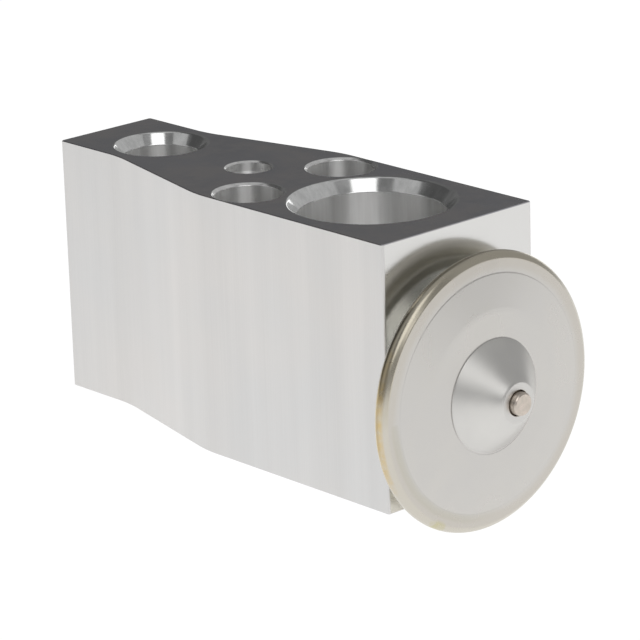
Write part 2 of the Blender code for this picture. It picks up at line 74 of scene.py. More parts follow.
# ---------------------------------------------------------------- materials
class Finish:
    """A node material built up step by step. Positions are in millimetres."""

    def __init__(self, name, colour, roughness, metallic=1.0):
        self.material = bpy.data.materials.new(name)
        self.material.use_nodes = True
        self.tree = self.material.node_tree
        self.shader = self.tree.nodes["Principled BSDF"]
        self.shader.inputs["Base Color"].default_value = (*colour, 1.0)
        self.shader.inputs["Roughness"].default_value = roughness
        self.shader.inputs["Metallic"].default_value = metallic
        self.material.diffuse_color = (*colour, 1.0)
        coordinates = self.node("ShaderNodeTexCoord")
        scaled = self.node("ShaderNodeVectorMath", operation="SCALE")
        scaled.inputs["Scale"].default_value = 1000.0
        self.link(coordinates.outputs["Object"], scaled.inputs[0])
        self.place = scaled.outputs[0]
        split = self.node("ShaderNodeSeparateXYZ")
        self.link(self.place, split.inputs[0])
        self.x, self.y, self.z = split.outputs
        self.bumps = None

    def node(self, kind, **settings):
        made = self.tree.nodes.new(kind)
        for key, value in settings.items():
            setattr(made, key, value)
        return made

    def link(self, a, b):
        self.tree.links.new(a, b)

    def feed(self, socket, value):
        if isinstance(value, bpy.types.NodeSocket):
            self.link(value, socket)
        else:
            socket.default_value = value

    def math(self, operation, a, b=None, c=None, clamp=False):
        made = self.node("ShaderNodeMath", operation=operation, use_clamp=clamp)
        for socket, value in zip(made.inputs, (a, b, c)):
            if value is not None:
                self.feed(socket, value)
        return made.outputs[0]

    def vector(self, x, y, z):
        made = self.node("ShaderNodeCombineXYZ")
        for socket, value in zip(made.inputs, (x, y, z)):
            self.feed(socket, value)
        return made.outputs[0]

    def stretched(self, x, y, z):
        """Position with each axis multiplied."""
        made = self.node("ShaderNodeVectorMath", operation="MULTIPLY")
        self.link(self.place, made.inputs[0])
        made.inputs[1].default_value = (x, y, z)
        return made.outputs[0]

    def noise(self, vector, scale=1.0, detail=3.0, roughness=0.55):
        made = self.node("ShaderNodeTexNoise")
        self.feed(made.inputs["Vector"], vector)
        made.inputs["Scale"].default_value = scale
        made.inputs["Detail"].default_value = detail
        made.inputs["Roughness"].default_value = roughness
        return made.outputs["Fac"]

    def spread(self, value, low, high, to_low=0.0, to_high=1.0, smooth=False):
        """Maps a value from one range to another, clamped."""
        made = self.node("ShaderNodeMapRange", clamp=True)
        if smooth:
            made.interpolation_type = "SMOOTHSTEP"
        self.feed(made.inputs["Value"], value)
        for name, number in (
            ("From Min", low),
            ("From Max", high),
            ("To Min", to_low),
            ("To Max", to_high),
        ):
            made.inputs[name].default_value = number
        return made.outputs[0]

    def bell(self, value, centre, half, soft):
        """1 within half of centre, falling to 0 over soft."""
        off = self.math("ABSOLUTE", self.math("SUBTRACT", value, centre))
        return self.spread(off, half, half + soft, 1.0, 0.0, smooth=True)

    def mix(self, amount, a, b):
        made = self.node("ShaderNodeMix", data_type="RGBA")
        self.feed(made.inputs["Factor"], amount)
        for socket, value in ((made.inputs["A"], a), (made.inputs["B"], b)):
            pass
        colours = [s for s in made.inputs if s.type == "RGBA"]
        for socket, value in zip(colours, (a, b)):
            if isinstance(value, tuple):
                value = (*value, 1.0)
            self.feed(socket, value)
        return [s for s in made.outputs if s.type == "RGBA"][0]

    def colour(self, value):
        self.feed(self.shader.inputs["Base Color"], value)

    def roughness(self, value):
        self.feed(self.shader.inputs["Roughness"], value)

    def bump(self, height, depth, strength=1.0):
        """Adds relief: height from 0 to 1 stands for depth millimetres."""
        made = self.node("ShaderNodeBump")
        made.inputs["Strength"].default_value = strength
        made.inputs["Distance"].default_value = depth * MM
        self.feed(made.inputs["Height"], height)
        if self.bumps is not None:
            self.link(self.bumps, made.inputs["Normal"])
        self.bumps = made.outputs[0]
        self.link(self.bumps, self.shader.inputs["Normal"])

    def polar(self):
        """Radius from the valve's axis, and angle round it from +Y over +Z."""
        z = self.math("SUBTRACT", self.z, AXIS_Z)
        square = self.math("ADD", self.math("MULTIPLY", self.y, self.y), self.math("MULTIPLY", z, z))
        return self.math("SQRT", square), self.math("DEGREES", self.math("ARCTAN2", z, self.y))


def extruded_finish():
    """Drawn sides of the extrusion: fine lines along Z, satin."""
    f = Finish("extruded_aluminium", (0.66, 0.655, 0.64), 0.38)
    fine = f.noise(f.stretched(3.2, 3.2, 0.02), 1.6, 5.0, 0.65)
    broad = f.noise(f.stretched(0.22, 0.22, 0.008), 1.0, 3.0)
    patch = f.noise(f.stretched(0.05, 0.05, 0.05), 1.0, 2.0)
    tone = f.math("ADD", f.math("MULTIPLY", fine, 0.45), f.math("MULTIPLY", broad, 0.55))
    light = f.mix(f.spread(patch, 0.35, 0.65), (0.735, 0.718, 0.702), (0.707, 0.704, 0.698))
    dark = f.mix(f.spread(patch, 0.35, 0.65), (0.668, 0.655, 0.640), (0.650, 0.646, 0.640))
    f.colour(f.mix(f.spread(tone, 0.36, 0.64), dark, light))
    f.roughness(f.spread(fine, 0.3, 0.7, 0.31, 0.42))
    f.bump(fine, 0.0022)
    return f.material


def milled_face_finish():
    """Port faces: bright cut with faint arcs of the face mill."""
    f = Finish("milled_port_face", (0.80, 0.80, 0.81), 0.16)
    dx = f.math("SUBTRACT", f.x, 96.0)
    dy = f.math("ADD", f.y, 118.0)
    far = f.math(
        "SQRT", f.math("ADD", f.math("MULTIPLY", dx, dx), f.math("MULTIPLY", dy, dy))
    )
    along = f.math("MULTIPLY", f.math("ARCTAN2", dy, dx), 6.0)
    lines = f.noise(f.vector(f.math("MULTIPLY", far, 4.6), along, 0.0), 1.0, 4.0, 0.6)
    runs = f.noise(f.vector(f.math("MULTIPLY", far, 0.7), along, 3.0), 1.0, 2.0)
    patch = f.noise(f.stretched(0.09, 0.09, 0.09), 1.0, 2.0)
    mark = f.math("MULTIPLY", f.spread(lines, 0.52, 0.72), f.spread(runs, 0.40, 0.70))
    tint = f.noise(f.stretched(0.16, 0.16, 0.16), 1.0, 4.0, 0.65)
    cool = f.mix(f.spread(patch, 0.3, 0.7), (0.645, 0.645, 0.685), (0.715, 0.71, 0.745))
    f.colour(f.mix(f.spread(tint, 0.42, 0.62), cool, (0.775, 0.745, 0.75)))
    f.roughness(f.math("ADD", f.spread(patch, 0.3, 0.7, 0.13, 0.17), f.math("MULTIPLY", mark, 0.16)))
    f.bump(lines, 0.0006)
    f.bump(mark, 0.0016)
    return f.material


def end_face_finish():
    """Sawn and milled ends: blurred mirror with faint straight lines."""
    f = Finish("milled_end_face", (0.645, 0.64, 0.62), 0.2)
    lines = f.noise(f.stretched(1.0, 0.03, 3.2), 1.6, 4.0, 0.6)
    patch = f.noise(f.stretched(0.08, 0.08, 0.08), 1.0, 2.0)
    f.colour(f.mix(f.spread(patch, 0.3, 0.7), (0.680, 0.673, 0.657), (0.698, 0.693, 0.679)))
    f.roughness(f.spread(lines, 0.3, 0.7, 0.15, 0.20))
    f.bump(lines, 0.0007)
    return f.material


def bored_finish(name, axis, low=0.07, high=0.15, colour=(0.80, 0.80, 0.795), grooves=0.0, chatter=0.0):
    """Bores and chamfers: fine turning rings across the given axis."""
    f = Finish(name, colour, 0.12)
    if grooves:
        # rings left by the tool spread light along the bore, not round it
        f.shader.inputs["Anisotropic"].default_value = grooves
        wander = f.math("MULTIPLY", f.math("SUBTRACT", f.noise(f.stretched(0.5, 0.5, 0.5)), 0.5), 0.06)
        way = (wander, wander, 1.0) if axis == "z" else (1.0, wander, wander)
        f.link(f.vector(*way), f.shader.inputs["Tangent"])
    if axis == "z":
        rings = f.noise(f.vector(0.0, 0.0, f.math("MULTIPLY", f.z, 9.0)), 1.0, 4.0, 0.7)
    else:
        rings = f.noise(f.vector(f.math("MULTIPLY", f.x, 9.0), 0.0, 0.0), 1.0, 4.0, 0.7)
    run = (0.9, 0.9, 0.05) if axis == "z" else (0.05, 0.9, 0.9)
    patch = f.noise(f.stretched(*run), 1.0, 3.0)
    f.colour(
        f.mix(
            f.spread(patch, 0.35, 0.62),
            tuple(c * 0.90 for c in colour),
            tuple(min(c * 1.05, 0.97) for c in colour),
        )
    )
    blend = f.math("ADD", f.math("MULTIPLY", rings, 0.6), f.math("MULTIPLY", patch, 0.4))
    f.roughness(f.spread(blend, 0.35, 0.65, low, high))
    f.bump(rings, 0.0008)
    if chatter:
        # the cutter chattered: small waves across the chamfer
        f.bump(f.noise(f.stretched(2.2, 2.2, 0.6), 1.0, 2.0), chatter)
    return f.material


def thread_finish():
    f = Finish("cut_thread", (0.78, 0.78, 0.775), 0.2)
    speck = f.noise(f.stretched(2.5, 2.5, 2.5), 1.0, 4.0)
    f.colour(f.mix(f.spread(speck, 0.35, 0.65), (0.78, 0.78, 0.77), (0.87, 0.87, 0.865)))
    f.roughness(f.spread(speck, 0.3, 0.7, 0.20, 0.30))
    f.bump(speck, 0.0004)
    return f.material


def head_finish(name, outer=True):
    """Pressed steel lid with straw and brown tint from the weld along its rim, painted shade in the pressed step and
    round the cone's foot, and painted light on the back of the rim.
    """
    steel = (0.60, 0.587, 0.56)
    f = Finish(name, steel, 0.27)
    radius, angle = f.polar()
    cloud = f.noise(f.stretched(0.16, 0.16, 0.16), 1.0, 3.0)
    grain = f.noise(f.stretched(6.0, 6.0, 6.0), 1.0, 4.0, 0.7)
    base = f.mix(f.spread(cloud, 0.35, 0.65), (0.577, 0.562, 0.541), (0.600, 0.583, 0.554))
    cone = f.spread(radius, 7.4, 7.2)
    base = f.mix(cone, base, f.mix(f.spread(cloud, 0.35, 0.65), (0.64, 0.63, 0.61), (0.69, 0.68, 0.655)))
    if outer:
        # beige band between the pressed step and the rim
        wander = f.math("MULTIPLY", f.math("SUBTRACT", cloud, 0.5), 0.8)
        edge = f.math("ADD", radius, wander)
        band = f.spread(edge, 15.2, 16.6, smooth=True)
        base = f.mix(f.math("MULTIPLY", band, 0.9), base, (0.562, 0.532, 0.484))
        # the band is greener and duller low on the left
        low_left = f.bell(f.math("ABSOLUTE", f.math("SUBTRACT", angle, -140.0)), 0.0, 24.0, 40.0)
        dull = f.math("MULTIPLY", low_left, f.bell(edge, 15.95, 0.25, 0.55))
        base = f.mix(f.math("MULTIPLY", dull, 0.38), base, (0.47, 0.45, 0.37))
        # bead
        bead = f.spread(radius, 16.9, 17.35, smooth=True)
        turn = f.math("MODULO", f.math("ADD", angle, 360.0), 360.0)
        wave = f.math("MULTIPLY", f.math("SUBTRACT", f.noise(f.stretched(0.3, 0.3, 0.3), 1.0, 2.0), 0.5), 26.0)
        turn = f.math("ADD", turn, wave)
        upper = f.bell(turn, 110.0, 45.0, 35.0)
        straw = f.mix(upper, (0.60, 0.570, 0.505), (0.54, 0.50, 0.41))
        base = f.mix(bead, base, straw)
        rim = f.spread(radius, 17.62, 17.97, smooth=True)
        left = f.bell(turn, 180.0, 14.0, 24.0)
        mottled = f.spread(f.noise(f.stretched(1.1, 1.1, 1.1), 1.0, 3.0), 0.3, 0.6, 0.35, 0.95)
        base = f.mix(f.math("MULTIPLY", f.math("MULTIPLY", rim, left), mottled), base, (0.62, 0.475, 0.24))
        spot = f.math("MULTIPLY", f.bell(turn, 238.0, 1.0, 5.0), f.spread(radius, 16.6, 17.3, smooth=True))
        base = f.mix(f.math("MULTIPLY", spot, 0.55), base, (0.53, 0.49, 0.25))
        # dark brown line along the outer edge, over the upper side
        edge_line = f.bell(f.x, 71.66 - ORIGIN_STATION, 0.12, 0.22)
        brown = f.math("MULTIPLY", f.math("MULTIPLY", edge_line, rim), f.bell(turn, 130.0, 50.0, 30.0))
        base = f.mix(f.math("MULTIPLY", brown, 0.40), base, (0.36, 0.31, 0.21))
        # painted light: the back of the rim gets a lighter colour, and is duller
        back = f.spread(f.x, 71.5 - ORIGIN_STATION, 71.2 - ORIGIN_STATION, smooth=True)
        base = f.mix(back, base, (0.90, 0.87, 0.79))
    # painted shade in the pressed step, patchy
    step_painted_shade = f.math("MULTIPLY", f.bell(radius, 15.37, 0.02, 0.07), f.spread(cloud, 0.25, 0.6, 0.06, 0.24))
    base = f.mix(step_painted_shade, base, (0.40, 0.39, 0.37))
    # painted shade round the foot of the cone, mostly at the upper left
    around = f.math("MODULO", f.math("ADD", angle, 360.0), 360.0)
    foot_painted_shade = f.math("MULTIPLY", f.bell(radius, 7.40, 0.03, 0.07), f.bell(around, 135.0, 40.0, 55.0))
    base = f.mix(f.math("MULTIPLY", foot_painted_shade, 0.7), base, (0.22, 0.215, 0.21))
    f.colour(base)
    worn = f.math("ADD", f.spread(cloud, 0.3, 0.7, 0.22, 0.29), f.math("MULTIPLY", cone, 0.16))
    if outer:
        worn = f.math("ADD", worn, f.math("MULTIPLY", back, 0.25))
    f.roughness(worn)
    f.bump(grain, 0.0012)
    f.bump(cloud, 0.006)
    return f.material


def base_finish():
    """Inner lid and neck: turned steel with straw tint near the weld, lightened there as painted light, and painted
    shade over the top.
    """
    f = Finish("head_steel_inner", (0.52, 0.50, 0.46), 0.28)
    radius, angle = f.polar()
    cloud = f.noise(f.stretched(0.2, 0.2, 0.2), 1.0, 3.0)
    rings = f.noise(f.vector(f.math("MULTIPLY", radius, 7.0), f.math("MULTIPLY", f.x, 7.0), 0.0), 1.0, 3.0, 0.6)
    base = f.mix(f.spread(cloud, 0.3, 0.7), (0.80, 0.80, 0.75), (0.86, 0.86, 0.81))
    # straw tint near the weld, lightened as painted light where the flat ring lies in shade
    ring = f.spread(radius, 14.5, 15.1, smooth=True)
    base = f.mix(ring, base, (0.86, 0.84, 0.76))
    turn = f.math("MODULO", f.math("ADD", angle, 360.0), 360.0)
    # painted shade over the top of the inner lid, patchy
    top_painted_shade = f.math("MULTIPLY", f.bell(turn, 90.0, 40.0, 18.0), f.spread(cloud, 0.25, 0.6, 0.25, 0.42))
    base = f.mix(top_painted_shade, base, (0.40, 0.39, 0.34))
    f.colour(base)
    f.roughness(f.math("ADD", f.spread(rings, 0.3, 0.7, 0.20, 0.27), f.math("MULTIPLY", ring, 0.3)))
    f.bump(rings, 0.0015)
    return f.material


def plug_finish():
    f = Finish("plug_steel", (0.60, 0.53, 0.47), 0.3)
    speck = f.noise(f.stretched(1.4, 1.4, 1.4), 1.0, 4.0, 0.65)
    f.colour(f.mix(f.spread(speck, 0.35, 0.65), (0.63, 0.555, 0.49), (0.55, 0.50, 0.44)))
    f.roughness(f.spread(speck, 0.3, 0.7, 0.24, 0.4))
    f.bump(speck, 0.02)
    return f.material


def turned_finish(name, colour, low, high):
    f = Finish(name, colour, (low + high) / 2)
    radius, angle = f.polar()
    rings = f.noise(f.vector(f.math("MULTIPLY", f.x, 8.0), f.math("MULTIPLY", radius, 8.0), 0.0), 1.0, 4.0, 0.65)
    patch = f.noise(f.stretched(0.6, 0.6, 0.6), 1.0, 3.0)
    f.colour(
        f.mix(f.spread(patch, 0.3, 0.7), tuple(c * 0.93 for c in colour), tuple(min(1, c * 1.05) for c in colour))
    )
    f.roughness(f.spread(rings, 0.3, 0.7, low, high))
    f.bump(rings, 0.001)
    return f.material


def wire_finish():
    f = Finish("drawn_wire", (0.40, 0.40, 0.41), 0.3)
    scratch = f.noise(f.stretched(5.0, 1.2, 1.2), 1.0, 4.0, 0.65)
    f.colour(f.mix(f.spread(scratch, 0.3, 0.7), (0.36, 0.36, 0.37), (0.47, 0.47, 0.48)))
    f.roughness(f.spread(scratch, 0.3, 0.7, 0.22, 0.38))
    f.bump(scratch, 0.0015)
    return f.material


def rubber_finish():
    f = Finish("seal_rubber", (0.018, 0.022, 0.018), 0.5, 0.0)
    speck = f.noise(f.stretched(4.0, 4.0, 4.0), 1.0, 4.0, 0.6)
    f.colour(f.mix(f.spread(speck, 0.3, 0.7), (0.014, 0.017, 0.015), (0.030, 0.034, 0.030)))
    f.roughness(f.spread(speck, 0.3, 0.7, 0.42, 0.6))
    f.bump(speck, 0.004)
    return f.material


SIDE, PORT, END, BORE_Z, BORE_X, THREAD, CHAMFER, EDGE = range(8)
block_materials = [
    extruded_finish(),
    milled_face_finish(),
    end_face_finish(),
    bored_finish("bored_aluminium", "z", 0.44, 0.54, (0.93, 0.925, 0.915), 0.95),
    bored_finish("bored_aluminium_axial", "x", 0.30, 0.40, (0.86, 0.855, 0.845), 0.9),
    thread_finish(),
    bored_finish("chamfered_aluminium", "z", 0.09, 0.15, (0.81, 0.815, 0.81), chatter=0.002),
    bored_finish("rubbed_edge", "z", 0.15, 0.20, (0.84, 0.84, 0.835)),
]
cover_steel = head_finish("head_steel")
inner_steel = base_finish()
plug_steel = plug_finish()
turned_steel = turned_finish("turned_steel", (0.56, 0.55, 0.54), 0.16, 0.28)
spring_steel = wire_finish()
seal_rubber = rubber_finish()
screw_brass = turned_finish("screw_brass", (0.70, 0.52, 0.24), 0.2, 0.34)


# ---------------------------------------------------------------- meshes
def object_from(name, verts, faces, materials, indices=None, sharp=30.0, helper=False):
    mesh = bpy.data.meshes.new(name)
    mesh.from_pydata([tuple(v) for v in verts], [], faces)
    for material in materials:
        mesh.materials.append(material)
    if indices is not None:
        mesh.polygons.foreach_set("material_index", indices)
    bm = bmesh.new()
    bm.from_mesh(mesh)
    bmesh.ops.recalc_face_normals(bm, faces=bm.faces)
    bm.to_mesh(mesh)
    bm.free()
    mesh.shade_smooth()
    mesh.set_sharp_from_angle(angle=radians(sharp))
    obj = bpy.data.objects.new(name, mesh)
    scene.collection.objects.link(obj)
    if helper:
        obj.hide_render = True
        obj.hide_viewport = False
    return obj


def revolve(name, profile, steps, materials, axis="x", centre=(0.0, 0.0), closed=False,
            helper=False, sharp=30.0, wobble=None, index=None):
    """Body of revolution. profile holds (along, radius) pairs in millimetres.

    About X, along is a station; about Z it is a height and centre is (station, y).
    """
    verts, rows = [], []
    for along, radius in profile:
        if radius < 1e-6:
            rows.append([len(verts)])
            ring = [(0.0, 0.0)]
        else:
            rows.append(list(range(len(verts), len(verts) + steps)))
            ring = [
                (radius * cos(2 * pi * k / steps), radius * sin(2 * pi * k / steps))
                for k in range(steps)
            ]
        for k, (a, b) in enumerate(ring):
            grow = wobble(along, radius, 2 * pi * k / steps) if wobble and radius > 0 else 1.0
            if axis == "x":
                verts.append((at(along), a * grow * MM, (AXIS_Z + b * grow) * MM))
            else:
                verts.append((at(centre[0]) + a * grow * MM, (centre[1] + b * grow) * MM, along * MM))
    faces, indices = [], []
    pairs = list(zip(rows, rows[1:]))
    if closed:
        pairs.append((rows[-1], rows[0]))
    for level, (a, b) in enumerate(pairs):
        indices += [index[level] if isinstance(index, list) else index] * (
            0 if len(a) == 1 and len(b) == 1 else steps
        )
        if len(a) == 1 and len(b) == 1:
            continue
        for k in range(steps):
            n = (k + 1) % steps
            if len(a) == 1:
                faces.append((a[0], b[n], b[k]))
            elif len(b) == 1:
                faces.append((a[k], a[n], b[0]))
            else:
                faces.append((a[k], a[n], b[n], b[k]))
    return object_from(name, verts, faces, materials, None if index is None else indices, sharp, helper)


def rounded(points, closed=False, segments=5):
    """Rounds the corners of a profile. points hold (along, radius, fillet)."""
    out = []
    n = len(points)
    for i, (x, r, fillet) in enumerate(points):
        ends = i in (0, n - 1) and not closed
        if fillet <= 0 or ends:
            out.append((x, r))
            continue
        before, after = Vector(points[i - 1][:2]), Vector(points[(i + 1) % n][:2])
        here = Vector((x, r))
        u, v = (before - here), (after - here)
        lu, lv = u.length, v.length
        u.normalize(), v.normalize()
        half = u.angle(v) / 2
        if half > radians(89.5):
            out.append((x, r))
            continue
        set_back = min(fillet / tan(half), 0.48 * lu, 0.48 * lv)
        fillet = set_back * tan(half)
        centre = here + (u + v).normalized() * (fillet / sin(half))
        a, b = here + u * set_back - centre, here + v * set_back - centre
        start = atan2(a.y, a.x)
        sweep = (atan2(b.y, b.x) - start + pi) % (2 * pi) - pi
        for k in range(segments + 1):
            t = start + sweep * k / segments
            out.append((centre.x + fillet * cos(t), centre.y + fillet * sin(t)))
    return out


def held(points, distance=0.04):
    """Adds an edge close to each corner, so that smooth shading stays flat between corners."""
    out = []
    for i, here in enumerate(points):
        after = points[(i + 1) % len(points)]
        out.append(here)
        gap = (Vector(after) - Vector(here)).length
        if gap > 4 * distance:
            for share in (distance / gap, 1 - distance / gap):
                out.append((here[0] + (after[0] - here[0]) * share, here[1] + (after[1] - here[1]) * share))
    return out


def tooth(phase):
    """Profile of a 60 degree thread over one pitch, 0 at the root, 1 at the crest."""
    p = phase % 1.0
    rise = 0.3125
    if p < 0.125:
        return 0.0
    if p < 0.125 + rise:
        return (p - 0.125) / rise
    if p < 0.125 + rise + 0.25:
        return 1.0
    return 1.0 - (p - 0.375 - rise) / rise


def helicoid(name, start, turns, radius_at, steps, per_turn, materials, axis="x",
             centre=(0.0, 0.0), helper=True, index=None, pitch=1.0):
    """Closed body whose surface follows a helix, for cutting or shaping threads.

    Rows climb with the helix, so crests and roots run along mesh edges.
    radius_at(along, phase) gives the radius; phase counts turns of the helix.
    """
    count = int(turns * per_turn)
    verts = []

    def place(along, radius, angle):
        a, b = radius * cos(angle), radius * sin(angle)
        if axis == "x":
            return (at(along), a * MM, (AXIS_Z + b) * MM)
        return (at(centre[0]) + a * MM, (centre[1] + b) * MM, along * MM)

    for row in range(count + 1):
        for k in range(steps):
            phase = row / per_turn
            along = start + pitch * (phase + k / steps)
            verts.append(place(along, radius_at(along, phase), 2 * pi * k / steps))
    extra = per_turn  # column 0 seen again after one turn is one turn of rows higher
    faces = []

    def vertex(row, k):
        if k == steps:
            return vertex(row + extra, 0)
        return row * steps + k

    for row in range(count):
        for k in range(steps):
            if k == steps - 1 and row + 1 + extra > count:
                continue
            faces.append(
                (vertex(row, k), vertex(row, k + 1), vertex(row + 1, k + 1), vertex(row + 1, k))
            )
    # the rows left open at both ends of the last column close as fans
    low_loop = [vertex(0, k) for k in range(steps)] + [vertex(r, 0) for r in range(extra, 0, -1)]
    high_loop = [vertex(count, k) for k in range(steps)]
    high_loop += [vertex(r, steps - 1) for r in range(count - 1, count - extra - 1, -1)]
    # walk the seam on the upper side: column 0 from count - extra to count is inside the wall
    for loop, along in ((low_loop, start), (high_loop, start + pitch * (turns + 1.0))):
        verts.append(place(along, 0.0, 0.0))
        hub = len(verts) - 1
        if loop is low_loop:
            ring = loop
            for a, b in zip(ring, ring[1:] + ring[:1]):
                faces.append((b, a, hub))
        else:
            top = [vertex(count, k) for k in range(steps)]
            seam = [vertex(r, steps - 1) for r in range(count, count - extra - 1, -1)]
            ring = top + seam[1:]
            ring_close = vertex(count, 0)
            for a, b in zip(ring, ring[1:]):
                faces.append((a, b, hub))
            # from the last seam vertex the wall continues to column 0
            faces.append((ring[-1], ring_close, hub))
    indices = None if index is None else [index] * len(faces)
    return object_from(name, verts, faces, materials, indices, 25.0, helper)


def settled(target, sharp):
    """Keeps large faces flat and lets the small fillets between them carry the turn."""
    target.data.shade_smooth()
    target.data.set_sharp_from_angle(angle=radians(sharp))
    modifier = target.modifiers.new("even", "WEIGHTED_NORMAL")
    modifier.mode = "FACE_AREA"
    modifier.weight = 50
    modifier.keep_sharp = True
    bpy.context.view_layer.update()
    graph = bpy.context.evaluated_depsgraph_get()
    mesh = bpy.data.meshes.new_from_object(target.evaluated_get(graph), depsgraph=graph)
    target.modifiers.clear()
    old = target.data
    target.data = mesh
    bpy.data.meshes.remove(old)
    return target


def applied(target, operations):
    """Runs the booleans and returns the result as a plain mesh object."""
    for kind, cutter in operations:
        modifier = target.modifiers.new(cutter.name, "BOOLEAN")
        modifier.operation = kind
        modifier.solver = "EXACT"
        modifier.material_mode = "TRANSFER"
        modifier.object = cutter
    bpy.context.view_layer.update()
    graph = bpy.context.evaluated_depsgraph_get()
    mesh = bpy.data.meshes.new_from_object(target.evaluated_get(graph), depsgraph=graph)
    target.modifiers.clear()
    old = target.data
    target.data = mesh
    bpy.data.meshes.remove(old)
    for _, cutter in operations:
        data = cutter.data
        bpy.data.objects.remove(cutter)
        bpy.data.meshes.remove(data)
    bm = bmesh.new()
    bm.from_mesh(mesh)
    bmesh.ops.dissolve_degenerate(bm, edges=bm.edges, dist=2e-8)
    bm.to_mesh(mesh)
    bm.free()
    return settled(target, 28.0)


# ---------------------------------------------------------------- block
def corner_arc(before, corner, after, radius, count):
    a, c, b = Vector(before), Vector(corner), Vector(after)
    u, v = (a - c).normalized(), (b - c).normalized()
    half = u.angle(v) / 2
    set_back = radius / tan(half)
    centre = c + (u + v).normalized() * (radius / sin(half))
    first, last = c + u * set_back - centre, c + v * set_back - centre
    start = atan2(first.y, first.x)
    sweep = (atan2(last.y, last.x) - start + pi) % (2 * pi) - pi
    return [
        (centre.x + radius * cos(start + sweep * i / count), centre.y + radius * sin(start + sweep * i / count))
        for i in range(count + 1)
    ]


def block_outline():
    narrow, wide = 15.7 / 2, 25.8 / 2
    side = [
        (0.0, -narrow, 0.35, 7),
        (12.0, -narrow, 18.0, 14),
        (33.5, -wide, 18.0, 14),
        (LENGTH, -wide, 0.35, 7),
    ]
    corners = side + [(x, -y, r, n) for x, y, r, n in reversed(side)]
    outline = []
    for i, (x, y, radius, count) in enumerate(corners):
        outline += corner_arc(
            corners[i - 1][:2], (x, y), corners[(i + 1) % len(corners)][:2], radius, count
        )
    return outline


